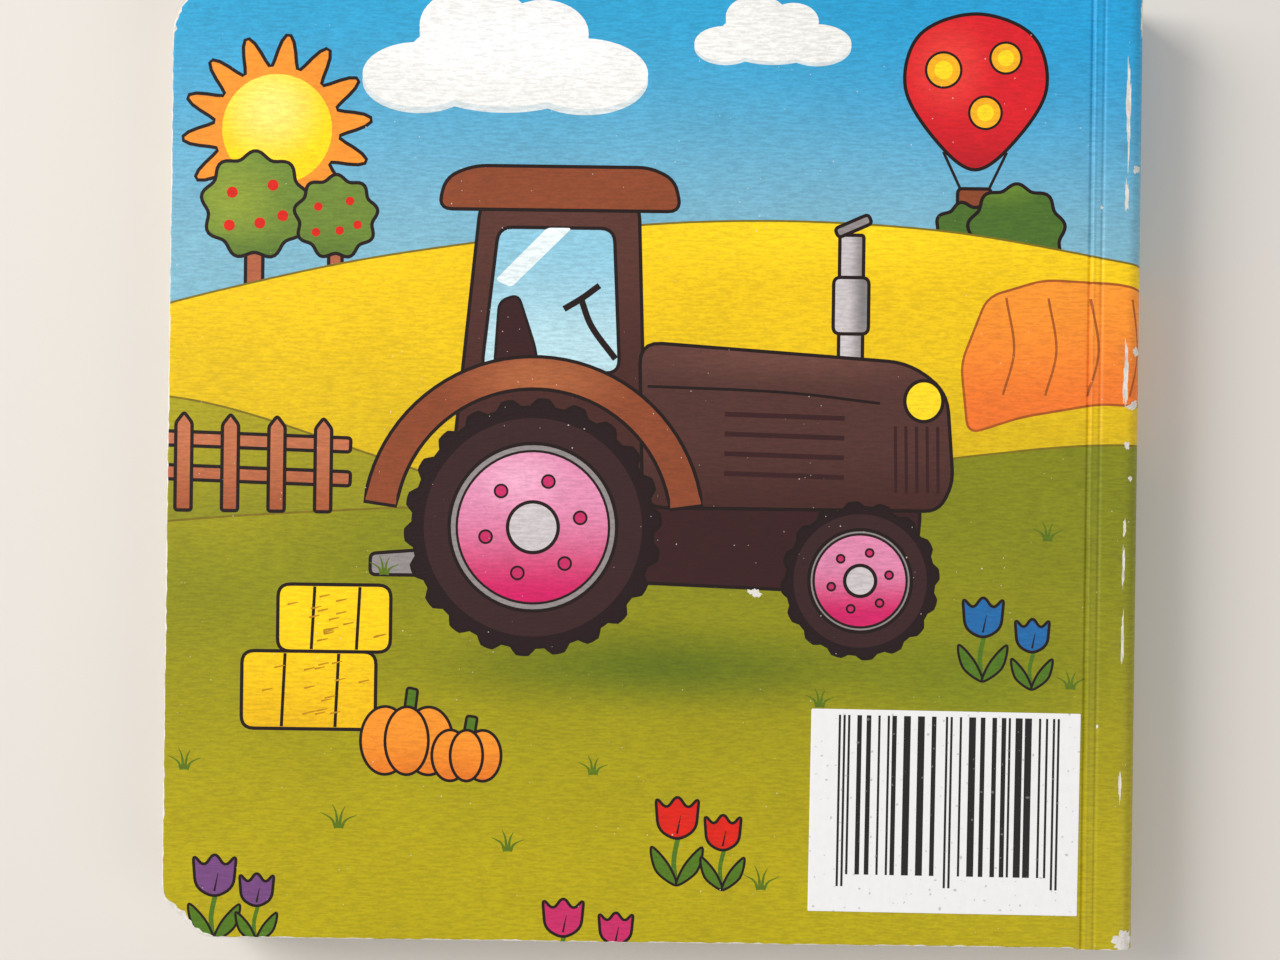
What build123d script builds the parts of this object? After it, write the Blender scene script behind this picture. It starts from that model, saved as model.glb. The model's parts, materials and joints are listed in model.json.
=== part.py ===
"""A small square board book, lying on its front cover with its back cover up.

Five thick board leaves are glued into one block. A card strip is folded round the spine and glued to the
block's two outer faces, and a panel hangs from each edge of that strip by a pressed double crease.

Frame: X runs from the fore edge to the spine, Y from tail to head, Z up from the front cover.
The origin is under the middle of the book, on the surface it lies on. Millimetres.
"""

from build123d import *

import os

# Overall sizes
book_width = 138.0  # fore edge to the spine's outer face
book_height = 136.0  # tail to head
corner_radius = 8.0  # the two fore-edge corners, cut through covers and leaves together

# Leaves
leaf_count = 5
leaf_thickness = 1.9
leaf_slit_height = 0.12  # the line between two leaves, where their cut edges part
leaf_slit_depth = 0.6

# Cover card
cover_thickness = 1.3
cover_play = 0.15  # air under a closed panel, and the glue line under the hinge strip
spine_fold_inner_radius = 0.85  # inside of the fold from hinge strip to spine, where it meets the leaves

# Crease that each panel turns on: two pressed grooves with a bead between them
crease_setback = 6.6  # middle of the bead to the spine's outer face
crease_groove_spacing = 1.7
crease_groove_radius = 0.5
crease_groove_depth = 0.3
crease_slit = 0.1  # parting line between panel and hinge strip, in the middle of the bead

# Wear: the tail corner of the back panel and the leaves was knocked flat
dent_depth = 0.8

# Label on the back panel
label_width = 38.2
label_height = 28.7
label_thickness = 0.1
label_to_groove = 0.62  # the label's spine side to the middle of the panel's groove
label_to_tail = 5.0  # the label's lower side to the panel's tail edge
label_turn = -0.4  # degrees: it was stuck on slightly askew

# Sizes that follow
block_thickness = leaf_count * leaf_thickness
wrap_thickness = cover_thickness + cover_play
book_thickness = block_thickness + 2 * wrap_thickness
fore_edge_x = -book_width / 2
spine_x = book_width / 2
block_spine_x = spine_x - wrap_thickness
spine_fold_outer_radius = spine_fold_inner_radius + wrap_thickness
crease_x = spine_x - crease_setback
panel_end_x = crease_x - crease_slit / 2
strip_start_x = crease_x + crease_slit / 2
panel_groove_x = crease_x - crease_groove_spacing / 2
strip_groove_x = crease_x + crease_groove_spacing / 2
groove_centre_rise = crease_groove_radius - crease_groove_depth
back_groove_z = book_thickness + groove_centre_rise
front_groove_z = -groove_centre_rise


def trimmed_outline(spine_side_x, dented):
    """A sheet's outline: square at the spine side, round at its two fore-edge corners.

    A dented sheet has a flat across its tail corner, dent_depth inside the corner's arc.
    """
    with BuildSketch() as outline:
        with Locations(((fore_edge_x + spine_side_x) / 2, 0)):
            Rectangle(spine_side_x - fore_edge_x, book_height)
        fillet(outline.vertices().group_by(Axis.X)[0], corner_radius)
        if dented:
            # A square turned on its corner, so far out from the arc's centre that its side is the flat
            square_side = 2 * corner_radius
            square_distance = corner_radius - dent_depth + square_side / 2
            square_x = fore_edge_x + corner_radius - square_distance / 2**0.5
            square_y = -book_height / 2 + corner_radius - square_distance / 2**0.5
            with Locations((square_x, square_y)):
                Rectangle(square_side, square_side, rotation=45, mode=Mode.SUBTRACT)
    return outline.sketch


def spine_section(spine_side_x, height, fold_radius):
    """The book's section beyond the crease, in X and Z: square at the crease, rounded at the spine."""
    with BuildSketch() as section:
        with Locations(((strip_start_x + spine_side_x) / 2, book_thickness / 2)):
            Rectangle(spine_side_x - strip_start_x, height)
        fillet(section.vertices().group_by(Axis.X)[-1], fold_radius)
    return section.sketch


# The leaves, as one block, rounded at the spine to fill the folded strip. Each slit between two leaves
# runs round the three cut edges and stops at the glued spine.
block_outline = trimmed_outline(block_spine_x, dented=True)
with BuildPart() as page_block:
    with BuildSketch(Plane.XY.offset(wrap_thickness)):
        add(block_outline)
    extrude(amount=block_thickness)
    fillet(page_block.edges().filter_by(Axis.Y).group_by(Axis.X)[-1], spine_fold_inner_radius)
    for leaf in range(1, leaf_count):
        slit_z = wrap_thickness + leaf * leaf_thickness - leaf_slit_height / 2
        with BuildSketch(Plane.XY.offset(slit_z)):
            add(block_outline)
            offset(block_outline, amount=-leaf_slit_depth, mode=Mode.SUBTRACT)
            with Locations((block_spine_x, 0)):
                Rectangle(3 * leaf_slit_depth, book_height - 2 * leaf_slit_depth, mode=Mode.SUBTRACT)
        extrude(amount=leaf_slit_height, mode=Mode.SUBTRACT)

# The strip round the spine: its section, less the leaves' section and the grooves, from tail to head
with BuildPart() as spine_wrap:
    with BuildSketch(Plane.XZ):
        add(spine_section(spine_x, book_thickness, spine_fold_outer_radius))
        add(spine_section(block_spine_x, block_thickness, spine_fold_inner_radius), mode=Mode.SUBTRACT)
        with Locations((strip_groove_x, back_groove_z), (strip_groove_x, front_groove_z)):
            Circle(crease_groove_radius, mode=Mode.SUBTRACT)
    extrude(amount=book_height / 2, both=True)

# The back panel, with its half of the crease
with BuildPart() as back_cover:
    with BuildSketch(Plane.XY.offset(book_thickness - cover_thickness)):
        add(trimmed_outline(panel_end_x, dented=True))
    extrude(amount=cover_thickness)
    with BuildSketch(Plane.XZ):
        with Locations((panel_groove_x, back_groove_z)):
            Circle(crease_groove_radius)
    extrude(amount=book_height, both=True, mode=Mode.SUBTRACT)

# The front panel, which the book lies on
with BuildPart() as front_cover:
    with BuildSketch(Plane.XY):
        add(trimmed_outline(panel_end_x, dented=False))
    extrude(amount=cover_thickness)
    with BuildSketch(Plane.XZ):
        with Locations((panel_groove_x, front_groove_z)):
            Circle(crease_groove_radius)
    extrude(amount=book_height, both=True, mode=Mode.SUBTRACT)

# The label, flat on the back panel beside its crease
label_x = panel_groove_x - label_to_groove - label_width / 2
label_y = -book_height / 2 + label_to_tail + label_height / 2
with BuildPart() as barcode_label:
    with BuildSketch(Plane.XY.offset(book_thickness)):
        with Locations((label_x, label_y)):
            Rectangle(label_width, label_height, rotation=label_turn)
    extrude(amount=label_thickness)

os.makedirs("parts", exist_ok=True)
page_block.part.label = "page_block"
export_step(page_block.part, "parts/page_block.step")
spine_wrap.part.label = "spine_wrap"
export_step(spine_wrap.part, "parts/spine_wrap.step")
back_cover.part.label = "back_cover"
export_step(back_cover.part, "parts/back_cover.step")
front_cover.part.label = "front_cover"
export_step(front_cover.part, "parts/front_cover.step")
barcode_label.part.label = "barcode_label"
export_step(barcode_label.part, "parts/barcode_label.step")
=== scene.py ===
"""Looks of a small square board book: printed creased covers, a folded spine, thick leaves and a bar label.

The cover is one printed card. It is drawn flat, in sheet coordinates in millimetres: s runs from the back
panel's fore edge, round the spine, to the front panel's fore edge, and t runs from tail to head. Each piece
of the cover is a window of that sheet: its print is a partition of the window into fields of ink, and the
window is then folded round the book and given its thickness. On the back panel s is the frame's own X, and
t is its Y everywhere.
"""

import json
import logging
import math
from collections.abc import Callable
from dataclasses import dataclass, field
from enum import Enum

import bpy
import numpy as np
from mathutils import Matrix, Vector
from mathutils.geometry import delaunay_2d_cdt


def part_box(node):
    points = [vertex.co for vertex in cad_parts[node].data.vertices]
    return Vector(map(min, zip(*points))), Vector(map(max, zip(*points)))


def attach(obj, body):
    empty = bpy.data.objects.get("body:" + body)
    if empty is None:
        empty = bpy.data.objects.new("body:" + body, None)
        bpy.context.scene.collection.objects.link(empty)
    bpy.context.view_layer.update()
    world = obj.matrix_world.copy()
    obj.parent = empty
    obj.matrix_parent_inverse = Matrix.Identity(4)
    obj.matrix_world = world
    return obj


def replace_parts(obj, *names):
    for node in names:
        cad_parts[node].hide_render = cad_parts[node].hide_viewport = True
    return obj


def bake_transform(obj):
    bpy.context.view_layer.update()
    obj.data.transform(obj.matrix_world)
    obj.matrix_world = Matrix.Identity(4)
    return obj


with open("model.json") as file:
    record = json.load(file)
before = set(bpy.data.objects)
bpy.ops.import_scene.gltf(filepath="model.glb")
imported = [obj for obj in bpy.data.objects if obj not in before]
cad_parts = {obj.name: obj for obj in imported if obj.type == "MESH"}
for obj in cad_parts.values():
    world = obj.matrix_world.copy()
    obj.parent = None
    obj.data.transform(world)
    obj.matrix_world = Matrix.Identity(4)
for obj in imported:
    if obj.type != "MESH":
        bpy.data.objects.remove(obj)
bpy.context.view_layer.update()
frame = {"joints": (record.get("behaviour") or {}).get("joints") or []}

MM = 0.001
log = logging.getLogger("board_book")


# ---------------------------------------------------------------------------------------------- outlines


def closed_curve(points: list[tuple[float, float]], steps: int = 10) -> np.ndarray:
    """Draws a smooth closed line through a few points, as a Catmull-Rom spline.

    Args:
        points: The points that the line passes through, in order.
        steps: How many places each span between two points gives.

    Returns:
        The line's places, one row each.
    """
    here = np.asarray(points, float)
    before, after, later = (np.roll(here, k, 0)[:, None, :] for k in (1, -1, -2))
    here = here[:, None, :]
    u = np.linspace(0, 1, steps, endpoint=False)[None, :, None]
    bend = (2 * before - 5 * here + 4 * after - later) * u**2
    twist = (3 * here - before - 3 * after + later) * u**3
    return (0.5 * (2 * here + (after - before) * u + bend + twist)).reshape(-1, 2)


def open_curve(points: list[tuple[float, float]], steps: int = 12) -> np.ndarray:
    """Draws a smooth open line through a few points: a closed one, cut where it would turn back.

    Args:
        points: The points that the line passes through, in order.
        steps: How many places each span between two points gives.

    Returns:
        The line's places, from the first point to the last.
    """
    ends = np.asarray(points, float)
    lead, trail = 2 * ends[0] - ends[1], 2 * ends[-1] - ends[-2]
    whole = closed_curve([lead, *ends, trail], steps)
    return whole[steps : steps * len(ends) + 1]


def rounded(points: list[tuple[float, float]], radius: float, steps: int = 6) -> np.ndarray:
    """Draws a straight-sided outline whose corners are parabolas that start radius away from each corner.

    Args:
        points: The corners, anticlockwise.
        radius: How far from a corner its rounding starts, at most 0.45 of the shorter side.
        steps: How many places each corner gives.

    Returns:
        The outline's places.
    """
    corner = np.asarray(points, float)
    back, on = np.roll(corner, 1, 0) - corner, np.roll(corner, -1, 0) - corner
    back_length, on_length = np.linalg.norm(back, axis=1), np.linalg.norm(on, axis=1)
    cut = np.minimum(radius, 0.45 * np.minimum(back_length, on_length))
    start = (corner + back * (cut / back_length)[:, None])[:, None, :]
    end = (corner + on * (cut / on_length)[:, None])[:, None, :]
    u = np.linspace(0, 1, steps)[None, :, None]
    return ((1 - u) ** 2 * start + 2 * u * (1 - u) * corner[:, None, :] + u**2 * end).reshape(-1, 2)


def ellipse(x: float, y: float, rx: float, ry: float, turn: float = 0.0, steps: int = 48) -> np.ndarray:
    """Draws an ellipse: cosine and sine of one turn, times the two radii, turned by turn degrees.

    Args:
        x: The middle's place along s.
        y: The middle's place along t.
        rx: The radius along s, before the turn.
        ry: The radius along t, before the turn.
        turn: How far it is turned anticlockwise, in degrees.
        steps: How many places it has.

    Returns:
        The outline's places.
    """
    a = np.linspace(0, 2 * np.pi, steps, endpoint=False)
    return turned(np.column_stack((rx * np.cos(a), ry * np.sin(a))), turn) + (x, y)


def wavy_disc(x: float, y: float, radius: float, waves: int, height: float, sharp: float = 1.0) -> np.ndarray:
    """Draws a disc with a wavy rim.

    Args:
        x: The middle's place along s.
        y: The middle's place along t.
        radius: The mean radius.
        waves: How many waves the rim has.
        height: How far each wave rises and falls.
        sharp: The sine's factor before it is clipped to 1: over 1 it squares the waves.

    Returns:
        The outline's places.
    """
    a = np.linspace(0, 2 * np.pi, waves * 10, endpoint=False)
    r = radius + height * np.clip(sharp * np.sin(waves * a), -1, 1)
    return np.column_stack((x + r * np.cos(a), y + r * np.sin(a)))


def arch(x: float, y: float, inner: float, outer: float, start: float, end: float) -> np.ndarray:
    """Draws a band between two radii round (x, y), from start to end degrees: one arc out, the other back.

    Args:
        x: The middle's place along s.
        y: The middle's place along t.
        inner: The smaller radius.
        outer: The larger radius.
        start: Where the band starts, in degrees from s.
        end: Where it ends.

    Returns:
        The outline's places.
    """
    a = np.radians(np.linspace(start, end, 40))
    rim = np.column_stack((np.cos(a), np.sin(a)))
    return np.vstack((outer * rim, inner * rim[::-1])) + (x, y)


def box(x0: float, y0: float, x1: float, y1: float, radius: float = 0.6) -> np.ndarray:
    """Draws an upright rectangle with rounded corners.

    Args:
        x0: The left side.
        y0: The lower side.
        x1: The right side.
        y1: The upper side.
        radius: How far from a corner its rounding starts.

    Returns:
        The outline's places.
    """
    return rounded([(x0, y0), (x1, y0), (x1, y1), (x0, y1)], radius)


def turned(outline: np.ndarray, degrees: float) -> np.ndarray:
    """Turns places anticlockwise about (0, 0).

    Args:
        outline: The places to turn.
        degrees: How far to turn them.

    Returns:
        The turned places.
    """
    c, s = math.cos(math.radians(degrees)), math.sin(math.radians(degrees))
    return outline @ np.array([[c, s], [-s, c]])


def anticlockwise(outline: np.ndarray) -> np.ndarray:
    """Gives the outline in anticlockwise order, by the sign of its enclosed area.

    Args:
        outline: A closed line's places, either way round.

    Returns:
        The same places, anticlockwise.
    """
    x, y = outline.T
    area = np.sum(x * np.roll(y, -1) - np.roll(x, -1) * y)
    return outline if area > 0 else outline[::-1]


def grown(outline: np.ndarray, by: float | np.ndarray) -> np.ndarray:
    """Moves each place of an anticlockwise outline outwards, square to the line through its neighbours.

    Args:
        outline: The outline's places, anticlockwise.
        by: How far to move, one value or one for each place.

    Returns:
        The moved places.
    """
    along = np.roll(outline, -1, 0) - np.roll(outline, 1, 0)
    outward = np.column_stack((along[:, 1], -along[:, 0]))
    outward /= np.maximum(np.linalg.norm(outward, axis=1, keepdims=True), 1e-9)
    return outline + outward * np.reshape(by, (-1, 1))


def ribbon(path: np.ndarray, width: float, tip: float = 1.0) -> np.ndarray:
    """Carries a width along an open line, half to each side, narrowing evenly to tip times it at the end.

    Args:
        path: The line's places.
        width: The ribbon's width at its start.
        tip: The share of that width at its end.

    Returns:
        The outline's places.
    """
    along = np.gradient(path, axis=0)
    side = np.column_stack((along[:, 1], -along[:, 0]))
    side /= np.maximum(np.linalg.norm(side, axis=1, keepdims=True), 1e-9)
    half = width / 2 * np.linspace(1, tip, len(path))[:, None]
    return np.vstack((path + side * half, (path - side * half)[::-1]))


def ripple(at: np.ndarray, waves: tuple[float, ...], seed: int) -> np.ndarray:
    """A smooth uneven value near -1 to 1: sines of the given wavelengths, each with its own phase.

    Args:
        at: Where to take the value.
        waves: The wavelengths.
        seed: What sets the phases.

    Returns:
        The value at each place.
    """
    phases = np.random.default_rng(seed).uniform(0, 2 * np.pi, len(waves))
    return sum(np.sin(2 * np.pi * at / w + p) for w, p in zip(waves, phases)) / math.sqrt(len(waves))


# ------------------------------------------------------------------------------------------------- inks


class FadeForm(Enum):
    """How a fade spreads over the sheet."""

    LINE = "LINEAR"
    ROUND = "SPHERICAL"


class Stock(Enum):
    """What an ink lies on or is: it sets the gloss, the texture and the wear."""

    LAMINATE = "printed card under satin film"
    BOARD = "bare board where the print is gone"
    CUT_EDGE = "the cut edge of board"
    PAPER = "smooth label paper"


@dataclass(frozen=True)
class Fade:
    """A soft change of an ink towards another colour.

    A LINE fade starts at centre and is complete at reach[0] along its turned direction. A ROUND fade is
    complete at its centre and gone at the ellipse of radii reach.
    """

    colour: str
    centre: tuple[float, float]
    reach: tuple[float, float]
    turn: float = 0.0
    form: FadeForm = FadeForm.ROUND
    strength: float = 1.0


@dataclass(frozen=True)
class Ink:
    """One field of colour, with its fades, on its stock."""

    name: str
    colour: str
    fades: tuple[Fade, ...] = ()
    stock: Stock = Stock.LAMINATE


def down(colour: str, top: float, bottom: float) -> Fade:
    """A fade straight down the sheet, from height top to height bottom.

    Args:
        colour: The colour at the bottom.
        top: The height where the fade starts.
        bottom: The height where it is complete.

    Returns:
        The fade.
    """
    return Fade(colour, (0.0, top), (top - bottom, 1.0), -90.0, FadeForm.LINE)


LINE = Ink("outline_ink", "#1e0f0c")
SKY = Ink("sky_ink", "#2f9fcb", (down("#80b4c6", 66, 26), Fade("#1b9ad2", (62, 70), (70, 40), strength=0.7)))
CLOUD = Ink("cloud_ink", "#eeece6", (Fade("#ffffff", (-20, 60), (30, 8), strength=0.6),))
CLOUD_SHADE = Ink("cloud_shade_ink", "#d5dcdc")
WHEAT = Ink("wheat_field_ink", "#f4c80c", (down("#cfae10", 34, -12), Fade("#fad414", (20, 34), (60, 10))))
MEADOW = Ink(
    "meadow_ink",
    "#828414",
    (
        down("#b3a209", -4, -66),
        Fade("#626f10", (2, -28.5), (50, 8.5)),
        Fade("#6f7d12", (45, -30), (26, 14), strength=0.7),
        Fade("#a79c16", (-62, -4), (30, 16), strength=0.8),
    ),
)
SLOPE = Ink("slope_ink", "#a59a18", (down("#86861a", 8, -14),))
FURROW = Ink("ploughed_ink", "#f8942c", (down("#f0742a", 26, 6),))
FURROW_LINE = Ink("furrow_line_ink", "#a8561c")
HILL_LINE = Ink("hill_line_ink", "#7d6c16")
BROWN = Ink(
    "bonnet_ink", "#52302a", (Fade("#70473c", (18, 16), (34, 6), strength=0.8), down("#43221d", 4, -8))
)
BROWN_DEEP = Ink("chassis_ink", "#38191a")
CAB = Ink("cab_ink", "#5a342c", (down("#472520", 36, 8),))
TYRE = Ink("tyre_ink", "#231012", (Fade("#3f2422", (-17, -9), (17, 17), strength=0.6),))
TYRE_WALL = Ink("tyre_wall_ink", "#3a2020")
RUST = Ink("fender_ink", "#8c4628", (Fade("#b4673c", (-16, 12), (16, 7), strength=0.8),))
HUB = Ink("hub_ink", "#e08cae", (down("#d01c60", -4, -19), Fade("#eeb0c6", (-19, -2), (9, 6), strength=0.7)))
HUB_SMALL = Ink("front_hub_ink", "#de86a9", (down("#cf2062", -13, -21),))
STEEL = Ink("steel_ink", "#c9c1c0", (Fade("#77706f", (29.5, 26), (2.6, 40), strength=0.9),))
STEEL_SHADE = Ink("steel_shade_ink", "#8f8886")
GLASS = Ink("window_ink", "#8cc4d8", (down("#b9dbe2", 32, 14),))
GLINT = Ink("glint_ink", "#e9f2f2")
LAMP = Ink("lamp_ink", "#fcd81c")
RED = Ink(
    "balloon_ink", "#d91c26", (Fade("#f0453a", (41, 57), (8, 9), strength=0.8), down("#a8121e", 52, 38))
)
SPOT = Ink("spot_ink", "#f6b01c")
SUN_RAY = Ink("sun_ray_ink", "#f4922a")
SUN_DISC = Ink("sun_ink", "#fbd60a", (Fade("#fff08a", (-55, 50), (9, 9), strength=0.7),))
CROWN = Ink("tree_crown_ink", "#6d8732", (Fade("#8c9c34", (-60, 37), (9, 9)), down("#4d6b28", 34, 26)))
BUSH = Ink("bush_ink", "#4b6d27", (Fade("#6b8a2c", (49, 41), (8, 5)),))
TRUNK = Ink("trunk_ink", "#b0603f")
FENCE = Ink("fence_ink", "#c0704a", (down("#a2532f", 4, -10),))
STRAW = Ink("straw_ink", "#fbcf08", (down("#e9b50c", -22, -40),))
STRAW_LINE = Ink("straw_line_ink", "#b98412")
PUMPKIN = Ink("pumpkin_ink", "#f39128", (down("#dc6a1c", -38, -48),))
STEM = Ink("stem_ink", "#4f7418")
GRASS = Ink("grass_ink", "#5b7212")
TULIPS = {
    "red": Ink("red_tulip_ink", "#d8200f"),
    "blue": Ink("blue_tulip_ink", "#2068a4"),
    "pink": Ink("pink_tulip_ink", "#c62a62"),
    "purple": Ink("purple_tulip_ink", "#74467a"),
}
INSIDE = Ink("inside_card", "#f1ead2")
PAGE = Ink("page_face", "#f2ecda")
BARE = Ink("bare_board", "#e9e4da", stock=Stock.BOARD)
CARD_EDGE = Ink("card_cut_edge", "#e0dacd", stock=Stock.CUT_EDGE)
LEAF_EDGE = Ink("leaf_cut_edge", "#dcd6c8", stock=Stock.CUT_EDGE)
LABEL = Ink("label_paper", "#eeecea", stock=Stock.PAPER)
BAR = Ink("label_bar_ink", "#15110f", stock=Stock.PAPER)


Socket = bpy.types.NodeSocket
Colour = Socket | tuple[float, float, float, float]


class NodePen:
    """Writes shader nodes into one node tree, in the order in which they are used."""

    def __init__(self, tree: bpy.types.NodeTree) -> None:
        """Starts on a tree."""
        self.tree = tree

    def add(
        self, kind: str, links: dict | None = None, values: dict | None = None, **settings
    ) -> bpy.types.Node:
        """Adds a node.

        Args:
            kind: The node's type name.
            links: Sockets to link into its inputs, by input name or number.
            values: Constants for its inputs, by input name or number.
            **settings: The node's own properties.

        Returns:
            The node.
        """
        node = self.tree.nodes.new(kind)
        for name, value in settings.items():
            setattr(node, name, value)
        for name, value in (values or {}).items():
            node.inputs[name].default_value = value
        for name, socket in (links or {}).items():
            self.tree.links.new(socket, node.inputs[name])
        return node

    def mapped(self, place: Socket, scale: tuple[float, float, float], turn: float = 0.0) -> Socket:
        """Scales and turns a place for a pattern.

        Args:
            place: The place's socket.
            scale: How much it is scaled each way.
            turn: How far it is turned first, in degrees.

        Returns:
            The result's socket.
        """
        values = {"Scale": scale, "Rotation": (0, 0, math.radians(turn))}
        return self.add("ShaderNodeMapping", {"Vector": place}, values).outputs[0]

    def noise(self, place: Socket, detail: float, roughness: float = 0.5) -> Socket:
        """Flat noise with features one unit apart.

        Args:
            place: The place's socket.
            detail: How many finer layers are added.
            roughness: How strong each finer layer is.

        Returns:
            The result's socket.
        """
        values = {"Scale": 1.0, "Detail": detail, "Roughness": roughness}
        node = self.add("ShaderNodeTexNoise", {"Vector": place}, values, noise_dimensions="2D")
        return node.outputs[0]

    def spread(
        self, value: Socket, low: float, high: float, to_low: float, to_high: float, smooth: bool = False
    ) -> Socket:
        """Carries a value's range low to high onto to_low to to_high, and clips it there.

        Args:
            value: The value's socket.
            low: The value that becomes to_low.
            high: The value that becomes to_high.
            to_low: The result at and beyond low.
            to_high: The result at and beyond high.
            smooth: Whether it eases in and out.

        Returns:
            The result's socket.
        """
        values = {"From Min": low, "From Max": high, "To Min": to_low, "To Max": to_high}
        form = "SMOOTHSTEP" if smooth else "LINEAR"
        node = self.add("ShaderNodeMapRange", {"Value": value}, values, interpolation_type=form)
        return node.outputs[0]

    def math(
        self, operation: str, first: Socket, second: Socket | None = None, constant: float = 0.0
    ) -> Socket:
        """One sum of two values, or of a value and a constant.

        Args:
            operation: The node's operation.
            first: The first value's socket.
            second: The second value's socket, or None.
            constant: The second value when there is no socket.

        Returns:
            The result's socket.
        """
        links = {0: first} if second is None else {0: first, 1: second}
        values = {1: constant} if second is None else {}
        return self.add("ShaderNodeMath", links, values, operation=operation).outputs[0]

    def mix(self, share: Socket | float, first: Colour, second: Colour, blend: str = "MIX") -> Socket:
        """Mixes two colours, each a socket or a written colour, by a share that is a socket or a number.

        Args:
            share: How much of the second colour.
            first: The first colour.
            second: The second colour.
            blend: How they are mixed.

        Returns:
            The result's socket.
        """
        node = self.add("ShaderNodeMix", data_type="RGBA", blend_type=blend)
        for number, value in ((0, share), (6, first), (7, second)):
            if isinstance(value, Socket):
                self.tree.links.new(value, node.inputs[number])
            else:
                node.inputs[number].default_value = value
        return node.outputs[2]


def linear(colour: str) -> tuple[float, float, float, float]:
    """Turns a written #rrggbb colour into linear light, by the sRGB curve.

    Args:
        colour: The colour as #rrggbb.

    Returns:
        Red, green, blue and an opacity of 1.
    """
    shown = [int(colour[k : k + 2], 16) / 255 for k in (1, 3, 5)]
    return (*[c / 12.92 if c <= 0.04045 else ((c + 0.055) / 1.055) ** 2.4 for c in shown], 1.0)


@dataclass(frozen=True)
class LaminateFinish:
    """The satin film over the print: a fine rib along s with painted shade and highlight that follow the
    rib's height, cloudy tone, and pinholes where the ink is gone.
    """

    rib_length: float = 2.3
    rib_pitch: float = 0.36
    rib_height: float = 0.07
    # How strongly the print is darkened and lightened with the rib height: painted shade and highlight on the
    # ribs.
    rib_painted_shade: float = 0.12
    cross_share: float = 0.3
    pinhole_level: float = 1.085
    roughness: float = 0.42

    def group(self) -> bpy.types.NodeTree:
        """Makes the node group that every print passes through: Colour to Colour, Roughness and Normal."""
        tree = bpy.data.node_groups.new("laminate_film", "ShaderNodeTree")
        tree.interface.new_socket("Colour", in_out="INPUT", socket_type="NodeSocketColor")
        for name, kind in (("Colour", "Color"), ("Roughness", "Float"), ("Normal", "Vector")):
            tree.interface.new_socket(name, in_out="OUTPUT", socket_type="NodeSocket" + kind)
        pen = NodePen(tree)
        colour = pen.add("NodeGroupInput").outputs[0]
        place = pen.add("ShaderNodeUVMap", uv_map="sheet").outputs[0]
        rib_scale = (1 / self.rib_length, 1 / self.rib_pitch, 1)
        ribs = pen.noise(pen.mapped(place, rib_scale, turn=0.6), 2.0, 0.6)
        cross = pen.noise(pen.mapped(place, (1.5, 2.6, 1), turn=32), 1.5, 0.55)
        grain = pen.noise(pen.mapped(place, (4.2, 5.5, 1)), 1.0)
        along = pen.math("MULTIPLY", ribs, constant=1 - self.cross_share)
        height = pen.math("ADD", along, pen.math("MULTIPLY", cross, constant=self.cross_share))
        # Painted shade and highlight on the ribs: the print is darkened in their hollows and lightened on
        # their crests, following the bump's height.
        contrast = self.rib_painted_shade
        tone = pen.spread(height, 0.36, 0.64, 1 - contrast, 1 + contrast)
        cloudy = pen.spread(pen.noise(pen.mapped(place, (0.07, 0.1, 1)), 2.0), 0.3, 0.7, 0.965, 1.035)
        fine = pen.spread(grain, 0.3, 0.7, 0.98, 1.02)
        # shade holds the ribs' painted shade and highlight, times a random cloudy tone and a fine grain.
        shade = pen.math("MULTIPLY", pen.math("MULTIPLY", tone, cloudy), fine)
        printed = pen.mix(1.0, colour, shade, "MULTIPLY")
        pin = pen.noise(pen.mapped(place, (2.6, 2.3, 1), turn=11), 0.0)
        patchy = pen.noise(pen.mapped(place, (0.11, 0.09, 1), turn=40), 1.0)
        peak = pen.math("ADD", pin, pen.math("MULTIPLY", patchy, constant=0.25))
        loss = pen.spread(peak, self.pinhole_level, self.pinhole_level + 0.015, 0, 0.7)
        worn = pen.mix(loss, printed, linear("#e4ddcc"))
        relief = pen.math("ADD", height, pen.math("MULTIPLY", grain, constant=0.12))
        bump = pen.add(
            "ShaderNodeBump", {"Height": relief}, {"Strength": 1.0, "Distance": self.rib_height * MM}
        ).outputs[0]
        gloss = pen.spread(height, 0.3, 0.7, self.roughness + 0.07, self.roughness - 0.05)
        pen.add("NodeGroupOutput", {0: worn, 1: gloss, 2: bump})
        return tree


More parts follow.
